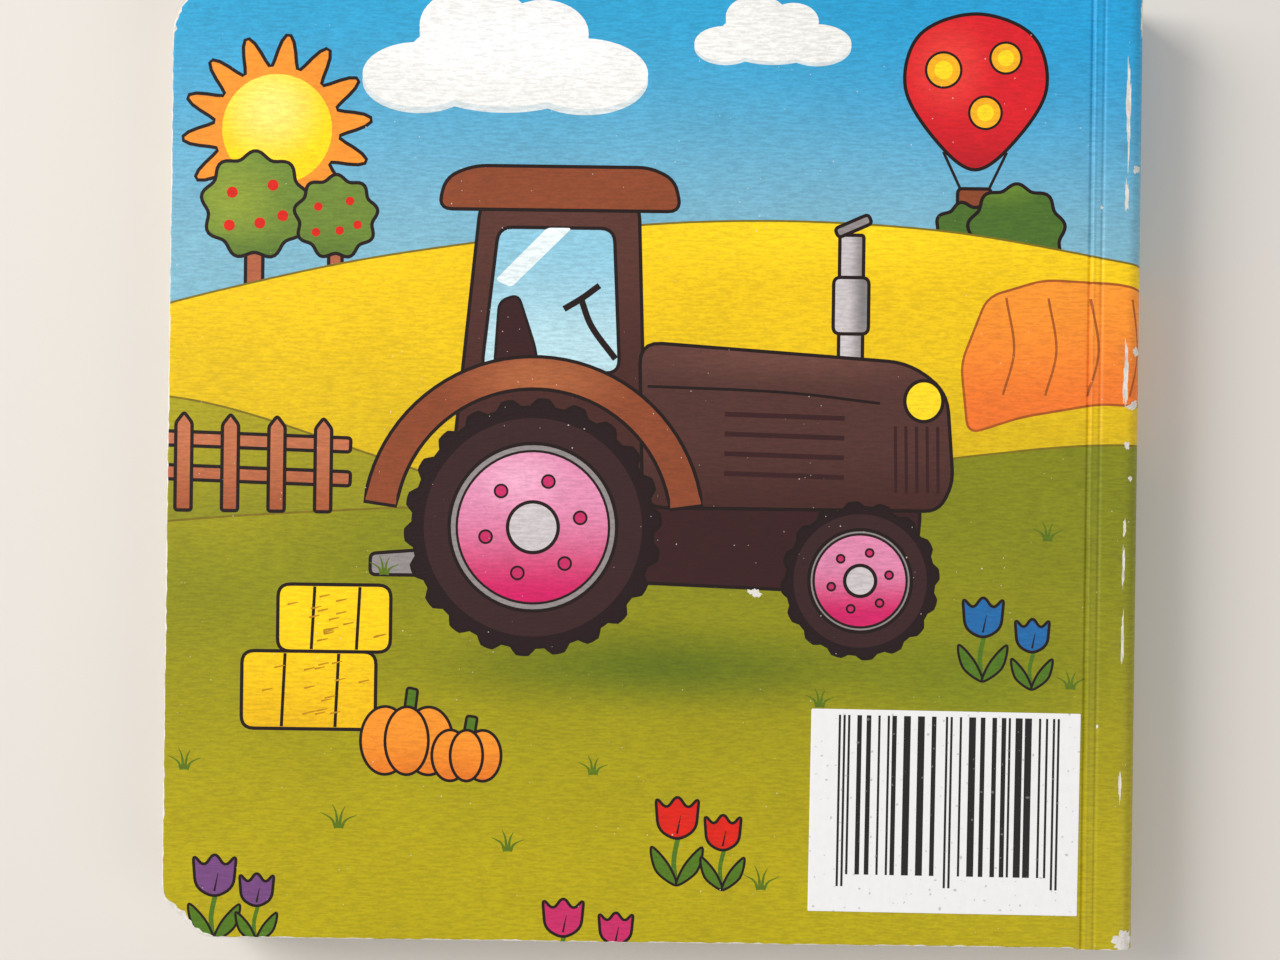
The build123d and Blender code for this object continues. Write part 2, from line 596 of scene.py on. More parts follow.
class InkShop:
    """Makes the material of each ink once, and hands it out."""

    def __init__(self, laminate: LaminateFinish) -> None:
        """Mixes the film that all prints share."""
        self.film = laminate.group()
        self.made: dict[Ink, bpy.types.Material] = {}

    def material(self, ink: Ink) -> bpy.types.Material:
        """The ink's material, made on its first use."""
        if ink not in self.made:
            self.made[ink] = self._mix(ink)
        return self.made[ink]

    def _mix(self, ink: Ink) -> bpy.types.Material:
        """Makes an ink's material: its colour, its fades in turn, then its stock."""
        material = bpy.data.materials.new(ink.name)
        material.use_nodes = True
        material.node_tree.nodes.clear()
        material.diffuse_color = linear(ink.colour)
        pen = NodePen(material.node_tree)
        place = pen.add("ShaderNodeUVMap", uv_map="sheet").outputs[0]
        colour = linear(ink.colour)
        for fade in ink.fades:
            colour = self._faded(pen, place, colour, fade)
        if not ink.fades:
            colour = pen.mix(0.0, colour, colour)
        dressed = {
            Stock.LAMINATE: self._laminate,
            Stock.BOARD: self._board,
            Stock.CUT_EDGE: self._cut_edge,
            Stock.PAPER: self._paper,
        }[ink.stock](pen, place, colour)
        pen.add("ShaderNodeOutputMaterial", {0: dressed.outputs[0]})
        return material

    def _faded(self, pen: NodePen, place: Socket, colour: Colour, fade: Fade) -> Socket:
        """Mixes a colour towards a fade's colour.

        Args:
            pen: What writes the nodes.
            place: The sheet place's socket.
            colour: The colour so far.
            fade: The fade to lay over it.

        Returns:
            The new colour's socket.
        """
        values = {
            "Location": (*fade.centre, 0),
            "Rotation": (0, 0, math.radians(fade.turn)),
            "Scale": (*fade.reach, 1),
        }
        local = pen.add("ShaderNodeMapping", {"Vector": place}, values, vector_type="TEXTURE").outputs[0]
        ramp = pen.add("ShaderNodeTexGradient", {"Vector": local}, gradient_type=fade.form.value).outputs[1]
        return pen.mix(pen.spread(ramp, 0, 1, 0, fade.strength, smooth=True), colour, linear(fade.colour))

    def _laminate(self, pen: NodePen, place: Socket, colour: Socket) -> bpy.types.Node:
        """Print under the satin film."""
        film = pen.add("ShaderNodeGroup", node_tree=self.film)
        pen.tree.links.new(colour, film.inputs[0])
        links = {"Base Color": film.outputs[0], "Roughness": film.outputs[1], "Normal": film.outputs[2]}
        return pen.add("ShaderNodeBsdfPrincipled", links, {"Specular IOR Level": 0.28})

    def _board(self, pen: NodePen, place: Socket, colour: Socket) -> bpy.types.Node:
        """Torn fibres: matt, mottled with a little grey dirt, and rough to the light."""
        fibre = pen.noise(pen.mapped(place, (3.2, 3.8, 1)), 3.0, 0.65)
        dirt = pen.spread(pen.noise(pen.mapped(place, (0.5, 0.6, 1)), 2.0), 0.45, 0.75, 0, 0.35)
        tone = pen.mix(1.0, colour, pen.spread(fibre, 0.3, 0.7, 0.86, 1.04), "MULTIPLY")
        soiled = pen.mix(dirt, tone, linear("#a99c88"))
        bump = pen.add("ShaderNodeBump", {"Height": fibre}, {"Strength": 1.0, "Distance": 0.09 * MM})
        links = {"Base Color": soiled, "Normal": bump.outputs[0]}
        return pen.add("ShaderNodeBsdfPrincipled", links, {"Roughness": 0.9, "Specular IOR Level": 0.2})

    def _cut_edge(self, pen: NodePen, place: Socket, colour: Socket) -> bpy.types.Node:
        """Layers of board, as streaks along the edge, with darker handling marks."""
        layers = pen.noise(pen.mapped(place, (0.12, 5.5, 1)), 2.0, 0.6)
        rubbed = pen.noise(pen.mapped(place, (0.09, 0.35, 1)), 3.0, 0.6)
        tone = pen.mix(1.0, colour, pen.spread(layers, 0.3, 0.7, 0.87, 1.05), "MULTIPLY")
        soiled = pen.mix(pen.spread(rubbed, 0.45, 0.75, 0, 0.45), tone, linear("#a4957e"))
        bump = pen.add("ShaderNodeBump", {"Height": layers}, {"Strength": 0.8, "Distance": 0.05 * MM})
        links = {"Base Color": soiled, "Normal": bump.outputs[0]}
        return pen.add("ShaderNodeBsdfPrincipled", links, {"Roughness": 0.82, "Specular IOR Level": 0.25})

    def _paper(self, pen: NodePen, place: Socket, colour: Socket) -> bpy.types.Node:
        """Smooth coated paper with faint scuffs."""
        scuff = pen.noise(pen.mapped(place, (0.9, 0.7, 1)), 3.0, 0.6)
        tone = pen.mix(1.0, colour, pen.spread(scuff, 0.3, 0.7, 0.975, 1.01), "MULTIPLY")
        speck = pen.spread(pen.noise(pen.mapped(place, (1.4, 1.5, 1)), 0.0), 0.83, 0.87, 0, 0.5)
        soiled = pen.mix(speck, tone, linear("#8f8a86"))
        bump = pen.add("ShaderNodeBump", {"Height": scuff}, {"Strength": 0.5, "Distance": 0.02 * MM})
        links = {"Base Color": soiled, "Normal": bump.outputs[0]}
        return pen.add("ShaderNodeBsdfPrincipled", links, {"Roughness": 0.48, "Specular IOR Level": 0.4})


# ----------------------------------------------------------------------------------------------- artwork


@dataclass
class Artwork:
    """The print, as outlines filled with ink, in the order in which they are laid down."""

    layers: list[tuple[np.ndarray, Ink]] = field(default_factory=list)

    def fill(self, outline: np.ndarray, ink: Ink, line: float = 0.0, line_ink: Ink = LINE) -> None:
        """Lays down one field.

        Args:
            outline: The field's outline.
            ink: What fills it.
            line: The width of the line along its outline, half inside and half outside, or 0 for none.
            line_ink: What draws that line.
        """
        outline = anticlockwise(outline)
        if line:
            self.layers.append((grown(outline, line / 2), line_ink))
            outline = grown(outline, -line / 2)
        self.layers.append((outline, ink))

    def stroke(
        self, points: list[tuple[float, float]], width: float, ink: Ink = LINE, tip: float = 1.0
    ) -> None:
        """Lays down one pen stroke through a few points."""
        self.layers.append((anticlockwise(ribbon(open_curve(points, 8), width, tip)), ink))


@dataclass
class FarmScene:
    """A generic farm: hills, sky, a brown tractor, a balloon, hay, pumpkins, a fence and tulips.

    The fields run round the spine, and the front panel carries only them.
    """

    far: float = 240.0
    floor: float = -80.0
    line: float = 0.5
    art: Artwork = field(default_factory=Artwork)

    def draw(self) -> Artwork:
        """Lays down the whole print, back to front."""
        art = self.art
        art.fill(box(-90, -90, self.far, 90), SKY)
        self.sun(-54, 47)
        self.cloud(-22, 57, 1.0)
        self.cloud(16, 61, 0.55)
        self.cloud(112, 50, 1.1)
        self.cloud(178, 58, 0.8)
        self.balloon(45, 54)
        self.tree(-57, 25, 7.2)
        self.tree(-45.5, 26, 5.6)
        self.bushes(51, 33)
        self.bushes(150, 26)
        wheat = [(-90, 16), (-62, 24), (-34, 30), (4, 34.5), (38, 34), (70, 29)]
        wheat += [(98, 24), (140, 27), (184, 34), (240, 24)]
        self.hill(wheat, WHEAT)
        self.ploughed_field()
        slope = [(-90, 9), (-66, 8.5), (-40, 1), (-14, -8), (0, -14)]
        self.hill([*slope, (30, -30)], SLOPE)
        meadow = [(-90, -11), (-60, -8), (-20, -5.5), (16, -3), (46, 2), (72, 3.5)]
        meadow += [(104, -2), (150, -10), (196, -8), (240, 0)]
        self.hill(meadow, MEADOW)
        self.fence(-69, -6)
        self.tractor(2, -27)
        self.bale(-58, -38, 19, 11)
        self.bale(-53, -27, 16, 9.5)
        self.pumpkin(-34.5, -39.5, 5.6)
        self.pumpkin(-26.0, -41.5, 4.2)
        for x, y, size, colour in (
            (-61.5, -59, 1.0, "purple"),
            (-55.5, -61, 0.8, "purple"),
            (4, -50, 1.0, "red"),
            (10.5, -52, 0.85, "red"),
            (47, -21, 0.95, "blue"),
            (54, -23.5, 0.8, "blue"),
            (-12, -64.5, 0.95, "pink"),
            (-4.5, -66, 0.8, "pink"),
        ):
            self.tulip(x, y, size, TULIPS[colour])
        for x, y, size in (
            (-44, -52, 1.0),
            (-20, -55, 0.9),
            (16, -60, 1.0),
            (59.5, -31, 0.8),
            (24, -34, 0.8),
            (-66, -44, 0.9),
            (-8, -44, 0.8),
            (58, -62, 0.9),
            (-38, -16, 0.8),
            (56, -10, 0.8),
            (95, -30, 1.1),
            (120, -48, 1.0),
            (150, -34, 1.2),
            (185, -52, 1.0),
            (74, -50, 0.9),
            (172, -26, 0.9),
        ):
            self.tuft(x, y, size)
        return art

    def hill(self, crest: list[tuple[float, float]], ink: Ink) -> None:
        """A field of ink below a smooth crest, with a thin line along it.

        Args:
            crest: A few points along the top.
            ink: The field's ink.
        """
        top = open_curve(crest, 16)
        base = [(top[-1, 0], self.floor), (top[0, 0], self.floor)]
        self.art.fill(np.vstack((top, base)), ink, 0.3, HILL_LINE)

    def sun(self, x: float, y: float) -> None:
        """A disc on a ring of blunt rays."""
        self.art.fill(wavy_disc(x, y, 11.2, 14, 2.3), SUN_RAY, self.line)
        self.art.fill(ellipse(x, y, 8.0, 8.0), SUN_DISC, self.line * 0.8, SUN_RAY)

    def cloud(self, x: float, y: float, size: float) -> None:
        """Overlapping puffs: the grey ones set lower, the white ones over them."""
        puffs = ((0, 0, 14, 6.4), (-12, -2, 8, 4.6), (11.5, -1.6, 9, 5), (-4, 5, 8, 5.6), (5.5, 4, 6.5, 4.8))
        for ink, drop in ((CLOUD_SHADE, 0.9), (CLOUD, 0.0)):
            for dx, dy, rx, ry in puffs:
                shape = ellipse(x + dx * size, y + (dy - drop) * size, rx * size, ry * size)
                self.art.fill(shape, ink)

    def balloon(self, x: float, y: float) -> None:
        """A round balloon with spots over a small basket."""
        for side in (-1, 1):
            self.art.stroke([(x + side * 4.5, y - 9), (x + side * 1.9, y - 14.5)], 0.4)
        self.art.fill(box(x - 2.4, y - 18, x + 2.4, y - 14.2, 0.7), RUST, self.line)
        body = [(x, y - 11.5), (x + 5.5, y - 7.5), (x + 10, y), (x + 8, y + 7.6), (x, y + 10.6)]
        body += [(2 * x - px, py) for px, py in body[3:0:-1]]
        self.art.fill(closed_curve(body), RED, self.line)
        for dx, dy, r in ((-4.6, 2.6, 2.5), (4.2, 4.4, 2.2), (1.4, -3.4, 2.3)):
            self.art.fill(ellipse(x + dx, y + dy, r, r), SPOT, 0.35, LINE)
            self.art.fill(ellipse(x + dx, y + dy, r * 0.52, r * 0.52), LAMP)

    def tree(self, x: float, y: float, radius: float) -> None:
        """A trunk under a bumpy round crown."""
        crown = y + radius * 1.55
        self.art.fill(box(x - radius * 0.17, y - 3, x + radius * 0.17, crown, 0.3), TRUNK, self.line)
        self.art.fill(wavy_disc(x, crown, radius, 9, radius * 0.07), CROWN, self.line)
        for dx, dy in ((-0.45, 0.25), (0.35, 0.4), (0.1, -0.35), (0.55, -0.2), (-0.5, -0.4)):
            fruit = ellipse(x + dx * radius, crown + dy * radius, 0.11 * radius, 0.11 * radius, steps=16)
            self.art.fill(fruit, TULIPS["red"])

    def bushes(self, x: float, y: float) -> None:
        """Two low bumpy bushes behind a hill."""
        self.art.fill(wavy_disc(x - 7, y, 4.6, 8, 0.35), BUSH, self.line)
        self.art.fill(wavy_disc(x, y + 0.6, 6.6, 9, 0.4), BUSH, self.line)

    def ploughed_field(self) -> None:
        """An orange field in furrows, on the far hill."""
        edge = [(44.5, 5), (52, 7.5), (63, 9.5), (76, 9), (76, 24)]
        edge += [(66, 26.5), (55, 27), (47, 24.5), (43.4, 15)]
        self.art.fill(rounded(edge, 2.0), FURROW, 0.35, FURROW_LINE)
        for x in (49, 55, 61, 67, 73):
            self.art.stroke([(x + 0.4, 10.6), (x + 1.9, 17), (x + 0.7, 24.4)], 0.35, FURROW_LINE)

    def fence(self, x: float, y: float) -> None:
        """Two rails on four posts."""
        for rise in (2.6, 7.4):
            self.art.fill(turned(box(-3, 0, 26, 2.0, 0.5), -1.5) + (x, y + rise + 0.6), FENCE, self.line)
        for step in range(4):
            left = x + 1.2 + step * 6.6
            right = left + 2.3
            foot, top = y - 1.2, y + 11.2 - step * 0.2
            post = [(left, foot), (right, foot), (right, top), (left + 1.15, top + 1.5), (left, top)]
            self.art.fill(rounded(post, 0.4), FENCE, self.line)

    def bale(self, x: float, y: float, width: float, height: float) -> None:
        """A tied bale with straw ends on its face.

        Args:
            x: The left side.
            y: The lower side.
            width: The face's width.
            height: The face's height.
        """
        self.art.fill(box(x, y, x + width, y + height, 1.8), STRAW, self.line)
        for share in (0.3, 0.7):
            self.art.stroke([(x + width * share, y + 0.3), (x + width * share + 0.4, y + height - 0.3)], 0.45)
        places = np.random.default_rng(int(width * 10)).uniform((0.06, 0.15), (0.88, 0.85), (16, 2))
        for u, v in places:
            start = (x + u * width, y + v * height)
            self.art.stroke([start, (start[0] + 1.5, start[1] + 0.35)], 0.28, STRAW_LINE, 0.5)

    def pumpkin(self, x: float, y: float, radius: float) -> None:
        """Three ribs side by side under a stem."""
        stem = [(x - 0.9, y), (x + 0.7, y), (x + 1.5, y + radius * 1.3), (x, y + radius * 1.35)]
        self.art.fill(rounded(stem, 0.4), STEM, 0.4)
        for shift, width in ((-0.55, 0.62), (0.55, 0.62), (0.0, 0.55)):
            self.art.fill(ellipse(x + shift * radius, y, width * radius, radius * 0.86), PUMPKIN, 0.42)

    def tulip(self, x: float, y: float, size: float, ink: Ink) -> None:
        """A cup of three petals on a leaning stem with two leaves; (x, y) is the cup's middle.

        Args:
            x: The cup's place along s.
            y: The cup's place along t.
            size: Its size.
            ink: The cup's ink.
        """
        foot = y - 9.5 * size
        self.art.stroke([(x + 0.3, y - 2), (x - 0.4 * size, y - 6 * size), (x, foot)], 0.7 * size, STEM)
        for side in (-1, 1):
            leaf = np.array([(0, 0), (side * 2.9, 2), (side * 3.6, 5.4), (side * 1.2, 3)])
            self.art.fill(closed_curve(leaf * size + (x, foot)), STEM, 0.35)
        cup = [(0, -3.2), (2.7, -1.7), (3.1, 3.1), (1.5, 1.2), (0, 3.5)]
        cup += [(-1.5, 1.2), (-3.1, 3.1), (-2.7, -1.7)]
        self.art.fill(rounded(np.array(cup) * size + (x, y), 1.4 * size), ink, 0.42)
        self.art.stroke([(x, y - 2.2 * size), (x + 0.5 * size, y + 0.4 * size)], 0.3, LINE, 0.3)

    def tuft(self, x: float, y: float, size: float) -> None:
        """Four blades of grass from one foot."""
        for lean, rise in ((-2.6, 2.2), (-0.9, 3.4), (0.9, 3.1), (2.6, 1.9)):
            bend = (x + lean * 0.4 * size, y + rise * 0.6 * size)
            tip = (x + lean * size, y + rise * size)
            self.art.stroke([(x + lean * 0.15, y), bend, tip], 0.5, GRASS, 0.15)

    def tractor(self, x: float, y: float) -> None:
        """A tractor that faces the spine; (x, y) is on the ground between its wheels.

        Args:
            x: The place along s.
            y: The place along t.
        """
        art = self.art

        def plate(corners: list[tuple[float, float]], radius: float, ink: Ink, line: float) -> None:
            """Lays down a plate with rounded corners, placed from the tractor's own (0, 0)."""
            art.fill(rounded(np.array(corners) + (x, y), radius), ink, line)

        plate([(-42, 11), (-30, 11), (-30, 15), (-42, 14)], 0.8, STEEL_SHADE, self.line)
        plate([(-24, 11), (35, 9), (36, 22), (-24, 24)], 2.0, BROWN_DEEP, self.line)
        self.exhaust(x + 24, y + 41)
        plate([(-31, 22), (-3, 22), (-4.5, 64), (-27, 64)], 2.0, CAB, self.line)
        plate([(-26.6, 40), (-7, 40), (-8, 60.5), (-24.4, 60.5)], 2.0, GLASS, self.line)
        plate([(-22.5, 52), (-14, 60.5), (-17.5, 60.5), (-24.8, 53)], 0.6, GLINT, 0.0)
        plate([(-24.8, 40), (-18.5, 40), (-19, 43.5), (-21.5, 51), (-24.2, 50)], 1.2, BROWN_DEEP, 0.4)
        art.stroke([(x - 7.6, y + 42), (x - 11, y + 46.5), (x - 12.6, y + 50.5)], 0.9)
        art.stroke([(x - 15, y + 49), (x - 12.4, y + 50.6), (x - 10, y + 52.4)], 0.9)
        roof = [(-33, 63), (1.5, 63), (0.5, 67.5), (-3, 69.2), (-28, 69.2), (-32, 67.5)]
        plate(roof, 2.0, RUST, self.line)
        bonnet = [(-3.5, 21), (38.5, 21), (40.5, 25), (39.5, 38), (34, 42), (-4.2, 44.5)]
        plate(bonnet, 3.2, BROWN, self.line)
        for rise in (26, 28.8, 31.6, 34.4):
            art.stroke([(x + 8, y + rise), (x + 25, y + rise - 0.4)], 0.7, BROWN_DEEP)
        for step in range(5):
            art.stroke([(x + 32.4 + step * 1.5, y + 23.5), (x + 32.2 + step * 1.5, y + 33)], 0.45, BROWN_DEEP)
        art.stroke([(x - 3, y + 38.2), (x + 16, y + 37.6), (x + 30, y + 36.2)], 0.4)
        art.fill(ellipse(x + 36.2, y + 36.6, 2.7, 2.9), LAMP, self.line)
        art.fill(arch(x - 19, y + 18, 19.6, 24.2, 8, 172), RUST, self.line)
        self.wheel(x - 19, y + 18, 18.0, 22, HUB)
        self.wheel(x + 27.5, y + 11, 11.0, 16, HUB_SMALL)

    def exhaust(self, x: float, y: float) -> None:
        """A grey pipe with a collar and a tilted cap."""
        self.art.fill(box(x, y, x + 3.4, y + 19, 0.4), STEEL, self.line)
        self.art.fill(box(x - 0.8, y + 5, x + 4.2, y + 13, 1.0), STEEL, self.line)
        cap = turned(box(-2.6, -0.7, 2.6, 0.7, 0.6), 24) + (x + 1.9, y + 20.3)
        self.art.fill(cap, STEEL_SHADE, self.line)

    def wheel(self, x: float, y: float, radius: float, lugs: int, hub: Ink) -> None:
        """A lugged tyre round a bright hub with nuts.

        Args:
            x: The middle's place along s.
            y: The middle's place along t.
            radius: The tyre's outer radius.
            lugs: How many lugs the tyre has.
            hub: The hub's ink.
        """
        self.art.fill(wavy_disc(x, y, radius * 0.975, lugs, radius * 0.03, 1.6), TYRE, self.line)
        self.art.fill(ellipse(x, y, radius * 0.86, radius * 0.86, steps=72), TYRE_WALL)
        self.art.fill(ellipse(x, y, radius * 0.66, radius * 0.66, steps=64), STEEL_SHADE, self.line)
        self.art.fill(ellipse(x, y, radius * 0.6, radius * 0.6, steps=64), hub, 0.35)
        for k in range(6):
            a = math.radians(60 * k + 12)
            across, up = 0.38 * radius * math.cos(a), 0.38 * radius * math.sin(a)
            self.art.fill(ellipse(x + across, y + up, 0.05 * radius, 0.05 * radius), TULIPS["pink"], 0.3)
        self.art.fill(ellipse(x, y, radius * 0.2, radius * 0.2), STEEL, self.line)


# ------------------------------------------------------------------------------------------ the sheet


@dataclass(frozen=True)
class Flake:
    """A patch where the film and the ink have come off the card: a ragged ellipse, slightly sunk."""

    s: float
    t: float
    width: float
    length: float
    seed: int
    turn: float = 0.0
    depth: float = 0.05

    def _raggedness(self, angle: np.ndarray) -> np.ndarray:
        """The share of the plain ellipse that the patch reaches at each angle: a few uneven waves."""
        waves = (math.pi, math.pi * 0.61, math.pi / 2, math.pi / 3.4, math.pi / 6.2)
        return 1 + 0.24 * ripple(angle, tuple(2 * math.pi / round(2 * math.pi / w) for w in waves), self.seed)

    def outline(self) -> np.ndarray:
        """The patch's edge on the sheet."""
        steps = int(24 + 10 * (self.width + self.length))
        a = np.linspace(0, 2 * np.pi, steps, endpoint=False)
        reach = self._raggedness(a) / 2
        plain = np.column_stack((self.width * reach * np.cos(a), self.length * reach * np.sin(a)))
        return turned(plain, self.turn) + (self.s, self.t)

    def sink(self, s: np.ndarray, t: np.ndarray) -> np.ndarray:
        """How far the surface lies below the print: 0 at the edge, the full depth a fifth of the way in.

        Args:
            s: Places along s.
            t: Places along t.

        Returns:
            The depth at each place.
        """
        local = turned(np.column_stack((s - self.s, t - self.t)), -self.turn)
        x, y = 2 * local[:, 0] / self.width, 2 * local[:, 1] / self.length
        share = np.hypot(x, y) / self._raggedness(np.arctan2(y, x) % (2 * np.pi))
        return self.depth * np.clip((1 - share) / 0.2, 0, 1)


@dataclass(frozen=True)
class CoverSheet:
    """The cover card: its flat outline, its relief and how it folds round the book. Millimetres."""

    fore_edge: float
    spine: float
    half_height: float
    book_thickness: float
    crease: float
    corner_radius: float = 8.0
    dent_depth: float = 0.8
    fold_radius: float = 2.3
    groove_offset: float = 0.85
    groove_width: float = 0.23
    groove_depth: float = 0.3
    edge_round: float = 0.28
    crease_half: float = 1.6
    flakes: tuple[Flake, ...] = ()

    @classmethod
    def from_frame(cls, flakes: tuple[Flake, ...]) -> "CoverSheet":
        """Reads the card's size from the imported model."""
        low, high = (np.array(v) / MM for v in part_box("back_cover"))
        wrap_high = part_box("spine_wrap")[1]
        joint = next(j for j in frame["joints"] if j["child"] == "back_panel")
        return cls(low[0], wrap_high.x / MM, high[1], high[2], joint["pos_m"][0] / MM, flakes=flakes)

    @property
    def fold_start(self) -> float:
        """Where the back's flat part ends and the fold to the spine starts."""
        return self.spine - self.fold_radius

    @property
    def fold_run(self) -> float:
        """The length of one fold along the sheet: a quarter circle."""
        return math.pi / 2 * self.fold_radius

    @property
    def front_start(self) -> float:
        """Where the second fold ends and the front's flat part starts."""
        return self.fold_start + 2 * self.fold_run + self.book_thickness - 2 * self.fold_radius

    def mirror(self, s: float | np.ndarray) -> float | np.ndarray:
        """The place on the front that lies under a place on the back, and the other way round."""
        return self.fold_start + self.front_start - s

    def place(self, st: np.ndarray, lift: np.ndarray | float) -> np.ndarray:
        """Folds the sheet round the book.

        The sheet runs flat over the back, turns a quarter circle, runs down the spine, turns another quarter
        circle and runs back under the front. Lift is added along the outward normal.

        Args:
            st: Places on the sheet, one row each.
            lift: Height over the sheet's plain outer face.

        Returns:
            Points in the frame, in millimetres.
        """
        s, t = st.T
        r = self.fold_radius
        first = np.clip((s - self.fold_start) / self.fold_run, 0, 1) * np.pi / 2
        fall = np.clip(s - self.fold_start - self.fold_run, 0, self.book_thickness - 2 * r)
        second = np.clip((s - self.front_start + self.fold_run) / self.fold_run, 0, 1) * np.pi / 2
        under = np.maximum(s - self.front_start, 0)
        x = np.minimum(s, self.fold_start) + r * np.sin(first) - r * (1 - np.cos(second)) - under
        z = self.book_thickness - r * (1 - np.cos(first)) - fall - r * np.sin(second)
        return np.column_stack((x + lift * np.sin(first + second), t, z + lift * np.cos(first + second)))

    def outline(self, inset: float = 0.0) -> np.ndarray:
        """The flat sheet's outline, moved inwards by inset: a rounded rectangle with one flattened corner."""
        r = self.corner_radius
        left, right = self.fore_edge + r, self.mirror(self.fore_edge) - r
        top = self.half_height - r
        a = np.linspace(0, np.pi / 2, 24)
        sides = []
        for k, centre in enumerate(((right, top), (left, top), (left, -top), (right, -top))):
            turn = a + k * np.pi / 2
            arc = np.column_stack((np.cos(turn), np.sin(turn))) * (r - inset) + centre
            follow = ((left, top), (left, -top), (right, -top), (right, top))[k]
            start, end = arc[-1], arc[-1] + np.subtract(follow, centre)
            steps = max(2, int(np.hypot(*(end - start)) / 0.8))
            run = start + np.linspace(0, 1, steps, endpoint=False)[1:, None] * (end - start)
            sides += [arc, run]
        edge = np.vstack(sides)
        out = np.array((-1, -1)) / math.sqrt(2)
        beyond = (edge - (left, -top)) @ out - (r - self.dent_depth - inset)
        corner = (edge[:, 0] < left + 1e-6) & (edge[:, 1] < -top + 1e-6)
        return edge - np.where(corner & (beyond > 0), beyond, 0)[:, None] * out

    def edge_distance(self, st: np.ndarray) -> np.ndarray:
        """How far each place lies inside the flat sheet's outline.

        Args:
            st: Places on the sheet, one row each.

        Returns:
            The distance of each, negative outside.
        """
        r = self.corner_radius
        left, right = self.fore_edge, self.mirror(self.fore_edge)
        centre = np.array(((left + right) / 2, 0.0))
        q = np.abs(st - centre) - (np.array(((right - left) / 2, self.half_height)) - r)
        inside = r - np.hypot(*np.maximum(q, 0).T) - np.minimum(q.max(1), 0)
        out = np.array((-1, -1)) / math.sqrt(2)
        flat = (r - self.dent_depth) - (st - (left + r, -self.half_height + r)) @ out
        return np.minimum(inside, flat)

    def window(self, start: float, end: float, inset: float = 0.0) -> np.ndarray:
        """The outline of the part of the sheet between two values of s, anticlockwise.

        The part is convex, so its edge places are put in order by their direction from its middle.

        Args:
            start: The lower value of s.
            end: The higher value of s.
            inset: How far inside the sheet's edge the outline runs.

        Returns:
            The outline's places.
        """
        edge = self.outline(inset)
        edge = edge[(edge[:, 0] > start + 1e-6) & (edge[:, 0] < end - 1e-6)]
        high = self.half_height - inset
        seams = [(s, side * high) for s in (start, end) for side in (-1, 1) if self.inside(s)]
        return by_direction(np.vstack((edge, np.reshape(seams, (-1, 2)))))

    def inside(self, s: float) -> bool:
        """Whether a value of s is a seam inside the sheet, and not one of its two fore edges."""
        return self.fore_edge + 1 < s < self.mirror(self.fore_edge) - 1

    def relief(self, st: np.ndarray) -> np.ndarray:
        """The outer face's height: the creases, the rounded cut edge and the flakes.

        Each crease is two bell-shaped grooves, groove_offset to each side of its middle, and the one on the
        strip's side is shallower. On the back, a sharp bead stands a little proud between them beside the
        panel's groove, and a low shoulder beyond it. The depth varies slowly from tail to head.

        Args:
            st: Places on the sheet, one row each.

        Returns:
            The height over the plain face at each place.
        """
        s, t = st.T
        back = s < (self.fold_start + self.front_start) / 2
        off = np.where(back, s - self.crease, self.mirror(s) - self.crease)
        pressed = 1 + 0.12 * ripple(t, (61.0, 23.0, 9.0), 5)
        groove = np.exp(-(((np.abs(off) - self.groove_offset) / self.groove_width) ** 2))
        groove = groove * np.where(off > 0, 0.6, 1.0)
        bead = 0.09 * np.exp(-(((off + 0.38) / 0.2) ** 2)) * back
        shoulder = 0.04 * np.exp(-(((off + 2.1) / 0.6) ** 2)) * back
        height = pressed * (bead - self.groove_depth * groove) + shoulder
        for flake in self.flakes:
            near = np.hypot(s - flake.s, t - flake.t) < max(flake.width, flake.length)
            height[near] -= flake.sink(s[near], t[near])
        return height - rolled(self.edge_distance(st), self.edge_round)

    def crease_lines(self, start: float, end: float) -> np.ndarray:
        """Values of s that the mesh follows between two others, close together in creases and folds.

        Args:
            start: The lower value of s.
            end: The higher value of s.

        Returns:
            The values of s, in rising order.
        """
        crease = self.crease + np.arange(-1.9, 1.91, 0.1)
        fold = self.fold_start + np.linspace(0, self.fold_run, 13)
        every = np.concatenate((crease, fold, self.mirror(crease), self.mirror(fold)))
        return np.sort(every[(every > start + 0.02) & (every < end - 0.02)])

    def printed_area(self) -> np.ndarray:
        """The outline inside which the print still holds: the sheet's own, less a worn, uneven strip.

        The strip is widest at the flattened corner, where the film is torn away.
        """
        edge = anticlockwise(self.outline())
        run = np.cumsum(np.hypot(*(edge - np.roll(edge, 1, 0)).T))
        strip = 0.17 + 0.07 * ripple(run, (31.0, 11.0, 5.3, 2.9), 11) + 0.05 * ripple(run, (1.9, 2.6), 12)
        from_corner = np.hypot(edge[:, 0] - self.fore_edge - 2.4, edge[:, 1] + self.half_height - 2.4)
        torn = np.exp(-((from_corner / 4.4) ** 4)) * (0.5 + 0.25 * ripple(run, (3.1, 1.7, 5.9), 13))
        head_corner = np.hypot(edge[:, 0] - self.fore_edge - 0.5, edge[:, 1] - self.half_height + 6.5)
        nicked = np.exp(-((head_corner / 3.0) ** 4)) * (0.16 + 0.22 * ripple(run, (2.3, 1.4), 14))
        return grown(edge, -np.maximum(strip + torn + nicked, 0.04))


